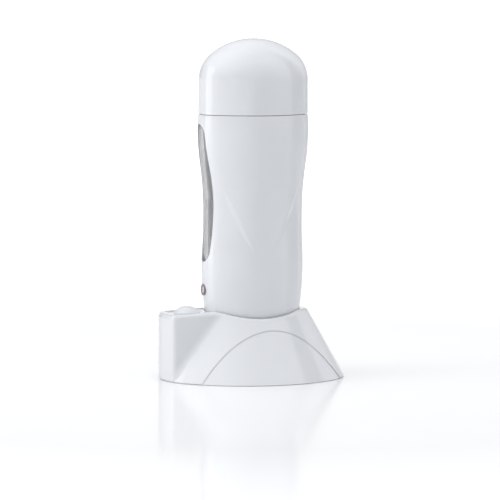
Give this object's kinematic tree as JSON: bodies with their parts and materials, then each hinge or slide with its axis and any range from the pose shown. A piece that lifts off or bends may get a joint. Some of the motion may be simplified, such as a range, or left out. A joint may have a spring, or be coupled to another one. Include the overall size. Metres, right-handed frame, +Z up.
{
  "type": "roll on wax heater",
  "caption": "Handheld cartridge wax heater with a domed cap and sight window, standing in a flared charging dock with a push button.",
  "frame": {"origin": "on the table under the centre of the dock's footprint, which is also the handset's upright axis", "axes": "+Z up along the handset; -Y towards the front, where the window, the lamp and the button are; +X across, to the side seen in the picture"},
  "size_m": [0.0898, 0.1144, 0.2041],
  "materials": {
    "white_plastic": "glossy, slightly cool white",
    "inner_plastic": "plain moulded",
    "dark_plastic": "heat-resistant moulding",
    "bezel_plastic": "satin",
    "indicator_lens": "translucent, unlit",
    "clear_lens": "clear polycarbonate",
    "foot_rubber": "matte",
    "screw_steel": "zinc plated",
    "clip_steel": "spring steel",
    "contact_brass": "plated",
    "chamber_aluminium": "drawn and anodised",
    "heater_plate": "ceramic heater, off-white",
    "board": "solder resist"
  },
  "bodies": {
    "dock": {"dock_shell": "white_plastic", "dock_cup": "inner_plastic", "bottom_plate": "inner_plastic", "plate_screws": "screw_steel", "rubber_feet": "foot_rubber", "control_board": "board", "board_screws": "screw_steel", "board_parts": "dark_plastic", "pin_block": "dark_plastic", "contact_leaf_front": "contact_brass", "contact_leaf_rear": "contact_brass", "switch_body": "dark_plastic", "power_inlet": "dark_plastic", "inlet_pins": "contact_brass"},
    "button": {"power_button": "white_plastic", "switch_plunger": "inner_plastic"},
    "pin_front": {"contact_pin_front": "contact_brass"},
    "pin_rear": {"contact_pin_rear": "contact_brass"},
    "handset": {"handset_shell": "white_plastic", "window_lens": "clear_lens", "indicator_bezel": "bezel_plastic", "indicator_lens": "indicator_lens", "lamp_board": "board", "indicator_lamp": "indicator_lens", "heating_chamber": "chamber_aluminium", "heater_plate_left": "heater_plate", "heater_plate_right": "heater_plate", "heater_clip": "clip_steel", "thermostat": "dark_plastic", "thermal_fuse": "clip_steel", "fuse_strap": "clip_steel", "top_collar": "inner_plastic", "bottom_cover": "white_plastic", "cover_screws": "screw_steel", "handset_contacts": "contact_brass", "contact_carrier": "dark_plastic"},
    "cap": {"cap_shell": "white_plastic"}
  },
  "joints": [
    {"name": "handset_lift", "type": "slide", "parent": "dock", "child": "handset", "axis": [0, 0, 1], "range_m": [0, 0.06]},
    {"name": "cap_lift", "type": "slide", "parent": "handset", "child": "cap", "axis": [0, 0, 1], "range_m": [0, 0.06]},
    {"name": "button_press", "type": "slide", "parent": "dock", "child": "button", "axis": [0, 0, 1], "range_m": [-0.0015, 0], "stiffness_N_per_m": 300, "springref_m": 0.002},
    {"name": "pin_front_press", "type": "slide", "parent": "dock", "child": "pin_front", "axis": [0, 0, 1], "range_m": [-0.001, 0], "stiffness_N_per_m": 400, "springref_m": 0.001, "deforming": ["contact_leaf_front"]},
    {"name": "pin_rear_press", "type": "slide", "parent": "dock", "child": "pin_rear", "axis": [0, 0, 1], "range_m": [-0.001, 0], "stiffness_N_per_m": 400, "springref_m": 0.001, "deforming": ["contact_leaf_rear"]}
  ]
}
